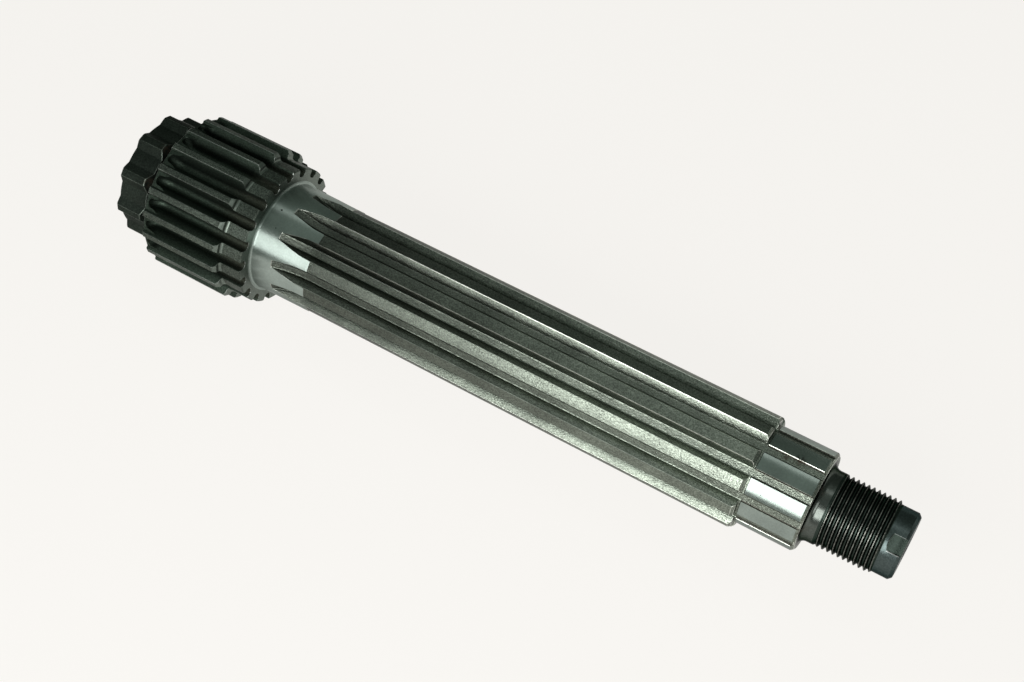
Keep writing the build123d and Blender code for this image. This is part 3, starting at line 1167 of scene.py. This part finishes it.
# Studio, sizes in metres. Each lamp is a panel as long as the shaft, at an angle around it, from Y towards Z.
studio = {
    "floorHeight": -0.0321,
    "floorRadius": 2.5,
    "floorCorners": 64,
    "floorColour": (0.945, 0.925, 0.893),
    "floorGlow": 0.92,       # share of the floor that shows its plain colour
    # the sky's colour, by the sine of the height over the horizon
    "sky": [(0.0, (0.27, 0.30, 0.28)), (0.12, (0.129, 0.153, 0.135)),
            (0.72, (0.129, 0.153, 0.135)), (0.93, (0.35, 0.40, 0.37))],
    "key": {"turn": 149, "distance": 0.60, "from": -0.15, "to": 0.42, "width": 0.34, "radiance": 6.0},
    "strip": {"turn": 78, "distance": 0.70, "from": -0.30, "to": 0.45, "width": 0.12, "radiance": 1.1},
    "end": {"turn": 140, "distance": 0.65, "from": 0.60, "to": 1.30, "width": 0.45, "radiance": 3.0},
}


def setCamera():
    turn = radians(view["turn"])
    axis, nearest, side = (np.array(view[name]) for name in ("axis", "nearest", "side"))
    # the world's axes as rows, in the camera's right, down, forward
    rows = np.array([axis, -cos(turn) * nearest + sin(turn) * side, -sin(turn) * nearest - cos(turn) * side])
    u, _, v = np.linalg.svd(rows * np.array([1, -1, -1]))
    basis = u @ v
    place = np.array([view["foot"], 0, 0]) + view["distance"] * np.array([0, cos(turn), sin(turn)])
    data = bpy.data.cameras.new("camera")
    data.lens = view["lens"]
    data.sensor_width = view["sensor"]
    data.clip_start = 0.01
    camera = addObject("camera", data)
    rows = [[*row, where] for row, where in zip(basis.tolist(), place.tolist())]
    camera.matrix_world = Matrix(rows + [[0, 0, 0, 1]])
    bpy.context.scene.camera = camera
    print("camera at", place.round(4))


def addPanel(name):
    lamp = studio[name]
    turn = radians(lamp["turn"])
    length = lamp["to"] - lamp["from"]
    data = bpy.data.lights.new(name, "AREA")
    data.shape = "RECTANGLE"
    data.size = length
    data.size_y = lamp["width"]
    data.energy = lamp["radiance"] * length * lamp["width"] * pi
    x = (lamp["from"] + lamp["to"]) / 2
    addObject(name, data).matrix_world = Matrix([[1, 0, 0, x],
                                                 [0, -sin(turn), cos(turn), lamp["distance"] * cos(turn)],
                                                 [0, cos(turn), sin(turn), lamp["distance"] * sin(turn)],
                                                 [0, 0, 0, 1]])


def addFloor():
    mesh = bpy.data.meshes.new("floor")
    count, radius = studio["floorCorners"], studio["floorRadius"]
    turns = [2 * pi * corner / count for corner in range(count)]
    ring = [(radius * cos(turn), radius * sin(turn), studio["floorHeight"]) for turn in turns]
    mesh.from_pydata(ring, [], [list(range(count))])
    floor = addObject("floor", mesh)
    material = bpy.data.materials.new("paleFloor")
    material.use_nodes = True
    tree = material.node_tree
    tree.nodes.clear()
    # the camera and the shaft's reflections see mostly its plain colour, with a little of the shadow
    colour = (*studio["floorColour"], 1)
    matt = put(tree, "ShaderNodeBsdfDiffuse", colour).outputs[0]
    glow = put(tree, "ShaderNodeEmission", colour).outputs[0]
    path = put(tree, "ShaderNodeLightPath").outputs
    seen = calculate(tree, "MAXIMUM", path["Is Camera Ray"], path["Is Glossy Ray"])
    seen = calculate(tree, "MAXIMUM", seen, path["Is Transmission Ray"])
    share = calculate(tree, "MULTIPLY", seen, studio["floorGlow"])
    put(tree, "ShaderNodeOutputMaterial", put(tree, "ShaderNodeMixShader", share, matt, glow).outputs[0])
    mesh.materials.append(material)


def setWorld():
    # pale near the horizon, where the floor ends, and dim above the shaft
    world = bpy.data.worlds.new("studio")
    bpy.context.scene.world = world
    world.use_nodes = True
    tree = world.node_tree
    place = put(tree, "ShaderNodeTexCoord").outputs["Generated"]
    ramp = put(tree, "ShaderNodeValToRGB", put(tree, "ShaderNodeSeparateXYZ", place).outputs["Z"])
    stops = ramp.color_ramp.elements
    for number, (height, colour) in enumerate(studio["sky"]):
        stop = stops[number] if number < 1 else stops.new(height)
        stop.position = height
        stop.color = (*colour, 1)
    stops.remove(stops[-1])
    feed(tree.nodes["Background"], {"Color": ramp.outputs[0]})


setCamera()
addFloor()
for lamp in ("key", "strip", "end"):
    addPanel(lamp)
setWorld()
bpy.context.scene.view_settings.view_transform = "Standard"
print("studio set")
